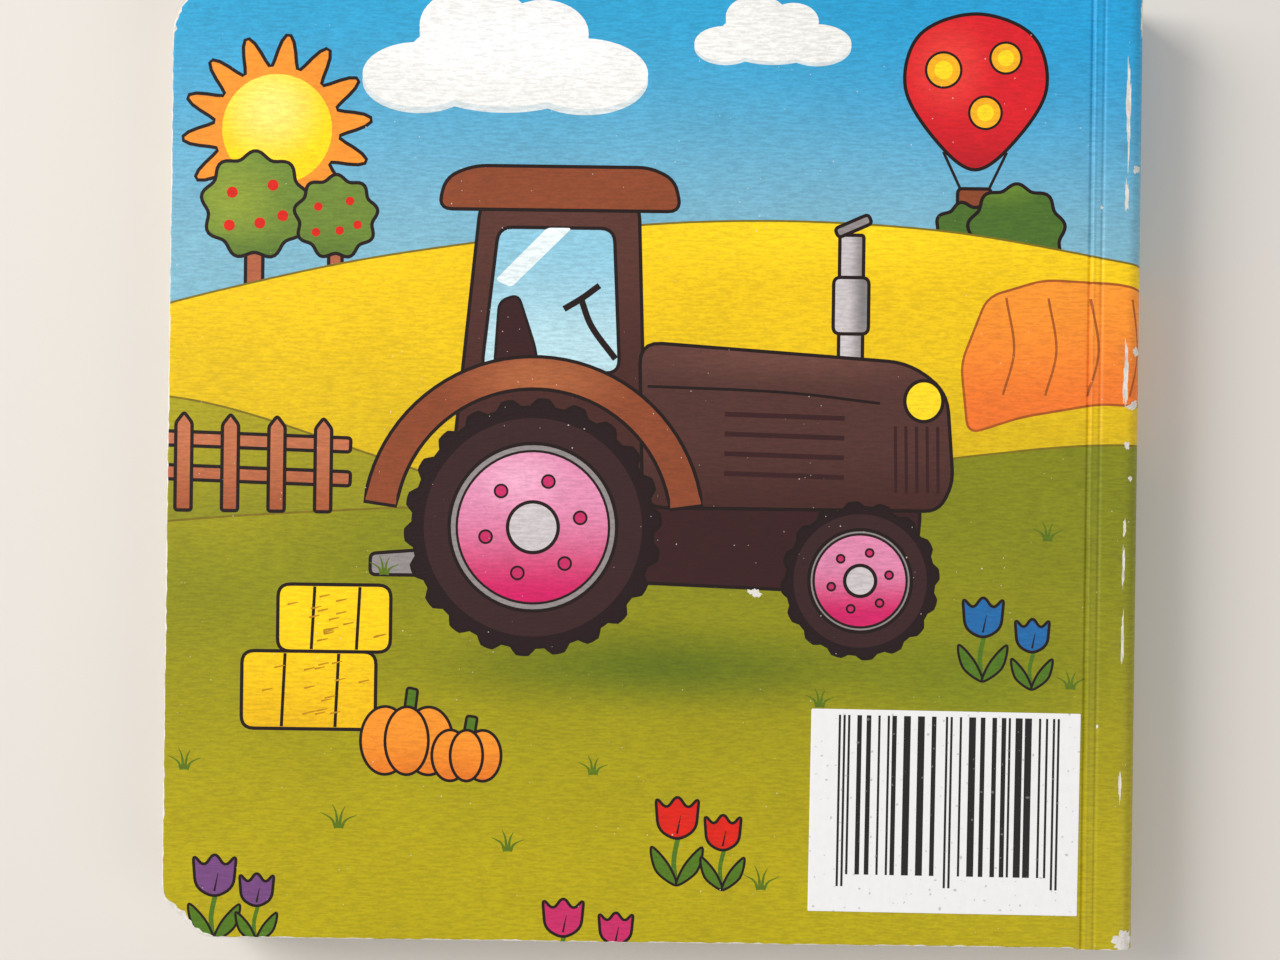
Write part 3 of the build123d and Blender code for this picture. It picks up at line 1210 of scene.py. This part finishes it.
def covered(places: np.ndarray, outline: np.ndarray) -> np.ndarray:
    """Tells which places lie inside an outline: those that it winds round.

    A side of the outline counts for a place if it passes to the place's right. It counts as one turn up or
    one turn down, and the place is inside if the turns don't cancel out.

    Args:
        places: The places to test.
        outline: A closed line's places.

    Returns:
        True for each place inside.
    """
    inside = np.zeros(len(places), bool)
    near = np.flatnonzero(((places > outline.min(0)) & (places < outline.max(0))).all(1))
    (ax, ay), (bx, by) = outline.T, np.roll(outline, -1, 0).T
    slope = (bx - ax) / np.where(by == ay, 1e-9, by - ay)
    for part in np.array_split(near, len(near) // 4000 + 1):
        x, y = places[part, 0, None], places[part, 1, None]
        right = ((ay > y) != (by > y)) & (x < ax + (y - ay) * slope)
        inside[part] = (right * np.sign(by - ay)).sum(1) != 0
    return inside


def rolled(distance: np.ndarray, radius: float) -> np.ndarray:
    """How far a rounded edge has dropped at each distance from it: a quarter circle of that radius.

    Args:
        distance: How far each place lies inside the edge.
        radius: The edge's radius.

    Returns:
        The drop at each place.
    """
    left = np.clip(radius - distance, 0, radius)
    return radius - np.sqrt(radius**2 - left**2)


def by_direction(places: np.ndarray) -> np.ndarray:
    """Puts the edge places of a convex shape in anticlockwise order round its middle.

    Args:
        places: The edge places, in any order.

    Returns:
        The same places, in order.
    """
    middle = (places.max(0) + places.min(0)) / 2
    return places[np.argsort(np.arctan2(*(places - middle).T[::-1]))]


# --------------------------------------------------------------------------------------------- meshes


@dataclass
class Partition:
    """A window of a sheet cut into triangles, each in one field of ink."""

    places: np.ndarray
    triangles: np.ndarray
    layer: np.ndarray

    @classmethod
    def cut(
        cls,
        window: np.ndarray,
        fields: list[np.ndarray],
        rings: list[np.ndarray],
        lines: list[np.ndarray],
        grid: np.ndarray,
    ) -> "Partition":
        """Cuts a window by a constrained Delaunay triangulation.

        A triangle belongs to the last field that covers it.

        Args:
            window: The outline to fill.
            fields: Outlines of fields, the later ones over the earlier ones.
            rings: Closed lines that the mesh follows, and that part no fields.
            lines: Open lines that the mesh follows.
            grid: Loose points that the mesh passes through.

        Returns:
            The partition, where layer is -1 outside every field.
        """
        loops = [*fields, *rings]
        runs = [window, *loops, *lines, grid]
        starts = np.cumsum([0] + [len(run) for run in runs])
        edges = []
        for k, (first, last) in enumerate(zip(starts[1:-2], starts[2:-1])):
            edges += [(i, i + 1) for i in range(first, last - 1)]
            edges += [(last - 1, first)] if k < len(loops) else []
        points = [Vector(p) for p in np.vstack(runs)]
        made = delaunay_2d_cdt(points, edges, [list(range(len(window)))], 1, 1e-5, True)
        places = np.array([p[:] for p in made[0]])
        triangles = np.array([tri for tri, source in zip(made[2], made[5]) if 0 in source])
        used, flat = np.unique(triangles, return_inverse=True)
        middles = places[triangles].mean(1)
        layer = np.full(len(triangles), -1)
        for number, outline in enumerate(fields):
            layer[covered(middles, outline)] = number
        return cls(places[used], flat.reshape(-1, 3), layer)

    def rim(self) -> np.ndarray:
        """The numbers of the window's edge places, anticlockwise: those on sides of one triangle only."""
        sides = np.sort(self.triangles[:, [0, 1, 1, 2, 2, 0]].reshape(-1, 2), axis=1)
        pairs, uses = np.unique(sides, axis=0, return_counts=True)
        rim = np.unique(pairs[uses == 1])
        middle = (self.places.max(0) + self.places.min(0)) / 2
        return rim[np.argsort(np.arctan2(*(self.places[rim] - middle).T[::-1]))]


@dataclass
class CardMesh:
    """A growing mesh with an ink for each face and a sheet place for each corner."""

    points: list[np.ndarray] = field(default_factory=list)
    faces: list[list[int]] = field(default_factory=list)
    inks: list[Ink] = field(default_factory=list)
    corners: list[np.ndarray] = field(default_factory=list)

    def add(self, points: np.ndarray, faces: np.ndarray, inks: list[Ink], corners: np.ndarray) -> int:
        """Adds points and the faces on them.

        Args:
            points: Points in the frame, in millimetres.
            faces: Point numbers, one row for each face, counted from the first of these points.
            inks: The ink of each face.
            corners: The sheet place of each face's corners, in the faces' order.

        Returns:
            The number of the first point.
        """
        first = sum(len(p) for p in self.points)
        self.points.append(points)
        self.faces += (faces + first).tolist()
        self.inks += inks
        self.corners.append(corners.reshape(-1, 2))
        return first

    def object(self, name: str, shop: InkShop) -> bpy.types.Object:
        """Makes the mesh object, with its material slots and its sheet UV map.

        Args:
            name: The object's name.
            shop: Where its materials come from.

        Returns:
            The object, in the scene.
        """
        mesh = bpy.data.meshes.new(name)
        mesh.from_pydata((np.vstack(self.points) * MM).tolist(), [], self.faces)
        slots = list(dict.fromkeys(self.inks))
        for ink in slots:
            mesh.materials.append(shop.material(ink))
        numbers = {ink: k for k, ink in enumerate(slots)}
        mesh.polygons.foreach_set("material_index", [numbers[ink] for ink in self.inks])
        sheet = mesh.uv_layers.new(name="sheet")
        sheet.data.foreach_set("uv", np.vstack(self.corners).astype(np.float32).ravel())
        mesh.shade_smooth()
        mesh.set_sharp_from_angle(angle=math.radians(38))
        mesh.validate()
        piece = bpy.data.objects.new(name, mesh)
        bpy.context.scene.collection.objects.link(piece)
        return piece


@dataclass
class Card:
    """One piece of card or paper: a face in fields of ink, a plain back, and a cut edge between them."""

    window: np.ndarray
    outer: Callable[[np.ndarray], np.ndarray]
    inner: Callable[[np.ndarray], np.ndarray]
    back_ink: Ink
    edge_ink: Ink
    rings: list[np.ndarray] = field(default_factory=list)
    lines: list[np.ndarray] = field(default_factory=list)
    pitch: float = 4.0

    def build(self, mesh: CardMesh, layers: list[tuple[np.ndarray, Ink]], ground: Ink) -> None:
        """Adds the piece to a mesh.

        The face and the back are partitions of the same window, carried onto the outer and the inner surface.
        The cut edge is a row of four-sided faces between their rims.

        Args:
            mesh: The mesh to add to.
            layers: The face's fields, in order.
            ground: The face's ink where no field lies.
        """
        grid = self._grid()
        face = Partition.cut(self.window, [o for o, _ in layers], self.rings, self.lines, grid)
        rim = face.rim()
        back = Partition.cut(face.places[rim], [], self.rings, self.lines, grid[::3])
        back_rim = back.rim()
        inks = [ink for _, ink in layers] + [ground]
        face_inks = [inks[k] for k in face.layer]
        top = mesh.add(self.outer(face.places), face.triangles, face_inks, face.places[face.triangles])
        under = back.triangles[:, ::-1]
        low = mesh.add(self.inner(back.places), under, [self.back_ink] * len(under), back.places[under])
        self._edge(mesh, face.places[rim], rim + top, back_rim + low)

    def _grid(self) -> np.ndarray:
        """Points all over the window, pitch apart, with every other row shifted by half of it."""
        low, high = self.window.min(0) + 1.0, self.window.max(0) - 1.0
        rows = np.arange(low[1], high[1], self.pitch)
        columns = np.arange(low[0], high[0], self.pitch)
        s, t = np.meshgrid(columns, rows)
        s = s + (np.arange(len(rows)) % 2)[:, None] * self.pitch / 2
        grid = np.column_stack((s.ravel(), t.ravel()))
        return grid[(grid < high).all(1)] if len(grid) else np.zeros((0, 2))

    def _edge(self, mesh: CardMesh, places: np.ndarray, upper: np.ndarray, lower: np.ndarray) -> None:
        """Joins the two rims. There a corner's sheet place is its run along the rim and its depth.

        Args:
            mesh: The mesh to add to.
            places: The rim's places on the sheet.
            upper: The point numbers of the face's rim.
            lower: The point numbers of the back's rim.
        """
        every = np.vstack(mesh.points)
        depth = np.linalg.norm(every[upper] - every[lower], axis=1)
        step = np.hypot(*(np.roll(places, -1, 0) - places).T)
        run = np.concatenate(([0.0], np.cumsum(step)))
        after = np.roll(np.arange(len(upper)), -1)
        faces = np.column_stack((upper, lower, lower[after], upper[after]))
        corners = np.stack(
            (
                np.column_stack((run[:-1], np.zeros(len(upper)))),
                np.column_stack((run[:-1], depth)),
                np.column_stack((run[1:], depth[after])),
                np.column_stack((run[1:], np.zeros(len(upper)))),
            ),
            axis=1,
        )
        mesh.faces += faces.tolist()
        mesh.inks += [self.edge_ink] * len(faces)
        mesh.corners.append(corners.reshape(-1, 2))


# ---------------------------------------------------------------------------------------------- pieces


@dataclass
class Cover:
    """The folded cover, as the two panels, the two creases and the strip round the spine."""

    sheet: CoverSheet
    shop: InkShop
    artwork: Artwork
    panel_thickness: float
    strip_thickness: float
    round_rings: tuple[float, ...] = (0.03, 0.08, 0.15, 0.22, 0.29, 0.6)
    tail_trim: float = 0.25

    def build(self) -> list[bpy.types.Object]:
        """Builds the five pieces, and ties the two panels and the strip round the spine to their bodies."""
        sheet, half = self.sheet, self.sheet.crease_half
        back, front = sheet.crease, sheet.mirror(sheet.crease)
        panel = self._piece("printed_back_cover", sheet.fore_edge, back - half, self.tail_trim)
        crease = self._piece("back_crease", back - half, back + half)
        wrap = self._piece("printed_spine_wrap", back + half, front - half)
        front_crease = self._piece("front_crease", front - half, front + half)
        front_panel = self._piece("printed_front_cover", front + half, sheet.mirror(sheet.fore_edge))
        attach(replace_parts(panel, "back_cover"), "back_panel")
        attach(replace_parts(wrap, "spine_wrap"), "book_block")
        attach(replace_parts(front_panel, "front_cover"), "front_panel")
        for piece, body in ((crease, "back_panel"), (front_crease, "front_panel")):
            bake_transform(piece)
        pieces = [panel, crease, wrap, front_crease, front_panel]
        return pieces

    def _piece(self, name: str, start: float, end: float, tail_trim: float = 0.0) -> bpy.types.Object:
        """Builds the part of the cover between two values of s; tail_trim shortens it at the tail.

        Args:
            name: The piece's name.
            start: The lower value of s.
            end: The higher value of s.
            tail_trim: How much shorter the piece is at the tail.

        Returns:
            The finished object.
        """
        sheet = self.sheet

        def trimmed(st: np.ndarray) -> np.ndarray:
            """Draws the tail in by tail_trim, easing in over the last eight millimetres."""
            near = np.clip((8 - st[:, 1] - sheet.half_height) / 8, 0, 1)
            return st + np.column_stack((np.zeros(len(st)), tail_trim * near**2 * (3 - 2 * near)))

        def outer(st: np.ndarray) -> np.ndarray:
            """The printed face."""
            return sheet.place(trimmed(st), sheet.relief(st))

        def inner(st: np.ndarray) -> np.ndarray:
            """The inside face, thicker on the strip side, where the card is glued down."""
            off = np.minimum(np.abs(st[:, 0] - sheet.crease), np.abs(st[:, 0] - sheet.mirror(sheet.crease)))
            on_strip = (st[:, 0] > sheet.crease) & (st[:, 0] < sheet.mirror(sheet.crease))
            share = np.clip(off / sheet.crease_half, 0, 1) * on_strip
            thickness = self.panel_thickness + (self.strip_thickness - self.panel_thickness) * share
            return sheet.place(trimmed(st), rolled(sheet.edge_distance(st), sheet.edge_round) - thickness)

        height = sheet.half_height
        lines = [
            np.column_stack((np.full(69, s), np.linspace(-height, height, 69)))
            for s in sheet.crease_lines(start, end)
        ]
        rings = [sheet.window(start, end, inset) for inset in self.round_rings]
        card = Card(sheet.window(start, end), outer, inner, INSIDE, CARD_EDGE, rings, lines)
        mesh = CardMesh()
        layers = [(outline, ink) for outline, ink in self.artwork.layers if self._meets(outline, start, end)]
        worn = [(flake.outline(), BARE) for flake in sheet.flakes if start - 9 < flake.s < end + 9]
        card.build(mesh, [*layers, *worn, (self._worn_rim(), BARE)], BARE)
        return mesh.object(name, self.shop)

    def _meets(self, outline: np.ndarray, start: float, end: float) -> bool:
        """Whether a field reaches into the stretch between two values of s.

        Args:
            outline: The field's outline.
            start: The lower value of s.
            end: The higher value of s.

        Returns:
            True if it does.
        """
        return outline[:, 0].max() > start and outline[:, 0].min() < end

    def _worn_rim(self) -> np.ndarray:
        """The worn strip along the cut edge: a band between the sheet's edge and the print's."""
        outer_edge = anticlockwise(grown(anticlockwise(self.sheet.outline()), 2.0))
        inner_edge = self.sheet.printed_area()
        return np.vstack((outer_edge, outer_edge[:1], inner_edge[:1], inner_edge[:0:-1], inner_edge[:1]))


@dataclass
class Leaves:
    """The block of leaves: thick plates with softened edges, not quite flush with one another."""

    sheet: CoverSheet
    shop: InkShop
    count: int = 5
    gap: float = 0.05
    edge_round: float = 0.3
    uneven: float = 0.09

    def build(self) -> bpy.types.Object:
        """Builds the leaves as one piece."""
        low, high = (np.array(v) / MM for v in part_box("page_block"))
        step = (high[2] - low[2]) / self.count
        chance = np.random.default_rng(3)
        mesh = CardMesh()
        for number in range(self.count):
            inset = 0.08 + chance.uniform(-self.uneven, self.uneven)
            outermost = number in (0, self.count - 1)
            spine_side = high[0] - (0.5 if outermost else 0.05)
            bottom, top = low[2] + number * step + self.gap / 2, low[2] + (number + 1) * step - self.gap / 2
            self._leaf(mesh, spine_side, inset, bottom, top)
        piece = mesh.object("board_leaves", self.shop)
        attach(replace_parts(piece, "page_block"), "book_block")
        return piece

    def _leaf(self, mesh: CardMesh, spine_side: float, inset: float, bottom: float, top: float) -> None:
        """Adds one leaf: a plate between two heights, inset from the cover's outline.

        Args:
            mesh: The mesh to add to.
            spine_side: Where the leaf ends at the spine.
            inset: How far inside the cover's outline it lies.
            bottom: The height of its lower face.
            top: The height of its upper face.
        """
        sheet = self.sheet

        def face(st: np.ndarray, height: float, side: float) -> np.ndarray:
            """One face of the leaf, dropping away at its cut edges."""
            drop = rolled(sheet.edge_distance(st) - inset, self.edge_round)
            return np.column_stack((st, height - side * drop))

        window = sheet.window(sheet.fore_edge, spine_side, inset)
        rings = [sheet.window(sheet.fore_edge, spine_side, inset + d) for d in (0.04, 0.1, 0.18, 0.26, 0.31)]
        card = Card(
            window,
            lambda st: face(st, top, 1.0),
            lambda st: face(st, bottom, -1.0),
            PAGE,
            LEAF_EDGE,
            rings,
            pitch=8.0,
        )
        card.build(mesh, [], PAGE)


@dataclass
class BarLabel:
    """The label on the back panel: smooth paper with a row of made-up bars that stand for no number."""

    sheet: CoverSheet
    shop: InkShop
    width: float = 38.2
    height: float = 28.7
    turn: float = -0.4
    side_margin: float = 3.9
    top_margin: float = 0.8
    bar_height: float = 22.6
    guard_extra: float = 1.7
    module: float = 0.33
    modules: int = 95

    def build(self) -> bpy.types.Object:
        """Builds the label."""
        low, high = (np.array(v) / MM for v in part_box("barcode_label"))
        middle = (low + high)[:2] / 2

        def surface(st: np.ndarray, height: float, side: float) -> np.ndarray:
            """One face of the label, its edges a little rounded."""
            from_edge = np.minimum(self.width / 2 - np.abs(st[:, 0]), self.height / 2 - np.abs(st[:, 1]))
            drop = rolled(from_edge, 0.05)
            xy = turned(st, self.turn) + middle
            return np.column_stack((xy, height - side * drop))

        half = np.array((self.width, self.height)) / 2
        edge = box(-half[0], -half[1], half[0], half[1], 0.25)
        rings = [grown(edge, -inset) for inset in (0.02, 0.05, 0.3)]
        card = Card(
            edge,
            lambda st: surface(st, high[2], 1.0),
            lambda st: surface(st, low[2] + 0.01, 0.0),
            LABEL,
            LABEL,
            rings,
            pitch=3.0,
        )
        mesh = CardMesh()
        card.build(mesh, [(bar, BAR) for bar in self._bars()], LABEL)
        piece = mesh.object("bar_label", self.shop)
        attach(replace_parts(piece, "barcode_label"), "back_panel")
        return piece

    def _bars(self) -> list[np.ndarray]:
        """Bars and gaps of one to three modules in a fixed random order, with longer pairs between them."""
        chance = np.random.default_rng(42)
        left = -self.width / 2 + self.side_margin
        top = self.height / 2 - self.top_margin
        guards = (0, 2, 46, 48, 92, 94)
        bars, at = [], 4
        while at < self.modules - 5:
            wide = int(chance.integers(1, 4))
            if not 44 - wide < at < 50:
                bars.append((at, wide, 0.0))
            at += wide + int(chance.integers(1, 4))
        bars += [(guard, 1, self.guard_extra) for guard in guards]
        bars = np.array(sorted(bars))
        starts = left + bars[:, 0] * self.module
        ends = left + (bars[:, 0] + bars[:, 1]) * self.module
        feet = top - self.bar_height - bars[:, 2]
        return [box(start, foot, end, top, 0.02) for start, end, foot in zip(starts, ends, feet)]


# ------------------------------------------------------------------------------------------ the studio


@dataclass
class Studio:
    """The floor, the lamps and the camera, straight above the book."""

    sheet: CoverSheet
    camera_height: float = 0.3
    view_width: float = 0.1815
    aim: tuple[float, float] = (-0.0019, -0.0021)
    roll: float = 0.75
    sensor: float = 36.0

    def build(self) -> None:
        """Sets up the whole studio."""
        self._floor()
        self._lamps()
        self._camera()
        bpy.context.scene.view_settings.view_transform = "Standard"

    def _floor(self) -> None:
        """A wide pale floor just under the book."""
        mesh = bpy.data.meshes.new("floor")
        reach = 3.0
        corners = [(-reach, -reach, 0), (reach, -reach, 0), (reach, reach, 0), (-reach, reach, 0)]
        mesh.from_pydata(corners, [], [(0, 1, 2, 3)])
        floor = bpy.data.objects.new("floor", mesh)
        bpy.context.scene.collection.objects.link(floor)
        material = bpy.data.materials.new("pale_floor")
        material.use_nodes = True
        shader = material.node_tree.nodes["Principled BSDF"]
        shader.inputs["Base Color"].default_value = linear("#dcd6ce")
        shader.inputs["Roughness"].default_value = 0.8
        mesh.materials.append(material)

    def _lamps(self) -> None:
        """A wide soft window light from the fore-edge side, a weak one opposite, and an even sky."""
        world = bpy.data.worlds.new("studio")
        bpy.context.scene.world = world
        world.use_nodes = True
        sky = world.node_tree.nodes["Background"]
        sky.inputs["Color"].default_value = (0.97, 0.97, 0.99, 1)
        sky.inputs["Strength"].default_value = 0.5
        for name, place, size, power in (
            ("window_light", (-0.75, 0.35, 0.62), 0.55, 9.2),
            ("far_side_light", (0.8, -0.5, 0.9), 0.8, 3.5),
        ):
            light = bpy.data.lights.new(name, "AREA")
            light.size = size
            light.energy = power
            lamp = bpy.data.objects.new(name, light)
            lamp.location = place
            lamp.rotation_euler = (-Vector(place)).to_track_quat("-Z", "Y").to_euler()
            bpy.context.scene.collection.objects.link(lamp)

    def _camera(self) -> None:
        """A camera that looks straight down, turned a little."""
        data = bpy.data.cameras.new("camera")
        data.sensor_width = self.sensor
        data.lens = self.sensor * self.camera_height / self.view_width
        camera = bpy.data.objects.new("camera", data)
        top = self.sheet.book_thickness * MM
        camera.location = (*self.aim, top + self.camera_height)
        camera.rotation_euler = (0, 0, math.radians(self.roll))
        bpy.context.scene.collection.objects.link(camera)
        bpy.context.scene.camera = camera


# Wear on the spine's fold, on the creases and in the middle of the back panel
FLAKES = (
    Flake(66.7, 51.4, 0.62, 13.2, 1),
    Flake(66.6, 39.0, 0.5, 4.4, 2),
    Flake(68.2, 42.9, 1.3, 1.1, 3),
    Flake(66.8, 13.6, 0.7, 8.6, 4),
    Flake(68.1, 9.4, 2.3, 1.0, 5, turn=20),
    Flake(68.6, 17.0, 1.5, 1.2, 6),
    Flake(67.1, 3.7, 0.8, 1.0, 7),
    Flake(67.7, -1.0, 0.6, 0.8, 8),
    Flake(66.9, -8.0, 0.45, 2.2, 9),
    Flake(66.8, -13.5, 0.4, 5.4, 10),
    Flake(66.8, -23.8, 0.38, 7.4, 11),
    Flake(66.7, -44.6, 0.36, 4.4, 12),
    Flake(69.3, 64.6, 1.2, 5.2, 13),
    Flake(67.6, -66.8, 3.6, 2.9, 14, turn=35, depth=0.12),
    Flake(70.6, -64.8, 1.0, 3.8, 15),
    Flake(63.1, 37.4, 0.4, 0.5, 16),
    Flake(63.4, -36.2, 0.3, 0.5, 17),
    Flake(14.6, -17.9, 1.8, 1.1, 18, turn=-12, depth=0.1),
    Flake(73.6, 30.0, 0.8, 3.4, 19),
    Flake(79.4, -20.0, 0.7, 9.0, 20),
    Flake(79.3, 36.0, 0.6, 5.0, 21),
    Flake(80.4, 66.0, 2.6, 3.0, 22, turn=-30, depth=0.1),
    Flake(80.2, -66.4, 2.2, 2.6, 23, turn=30, depth=0.1),
)


def main() -> None:
    """Builds the book and its studio, in order, and reports each piece."""
    logging.basicConfig(level=logging.INFO, format="%(message)s")
    sheet = CoverSheet.from_frame(FLAKES)
    shop = InkShop(LaminateFinish())
    artwork = FarmScene().draw()
    low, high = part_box("back_cover")
    panel_thickness = (high.z - low.z) / MM
    strip_thickness = sheet.book_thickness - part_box("page_block")[1].z / MM
    pieces = Cover(sheet, shop, artwork, panel_thickness, strip_thickness).build()
    pieces.append(Leaves(sheet, shop).build())
    pieces.append(BarLabel(sheet, shop).build())
    Studio(sheet).build()
    for piece in pieces:
        log.info("%s: %d faces, %d inks", piece.name, len(piece.data.polygons), len(piece.data.materials))


if __name__ == "__main__":
    main()
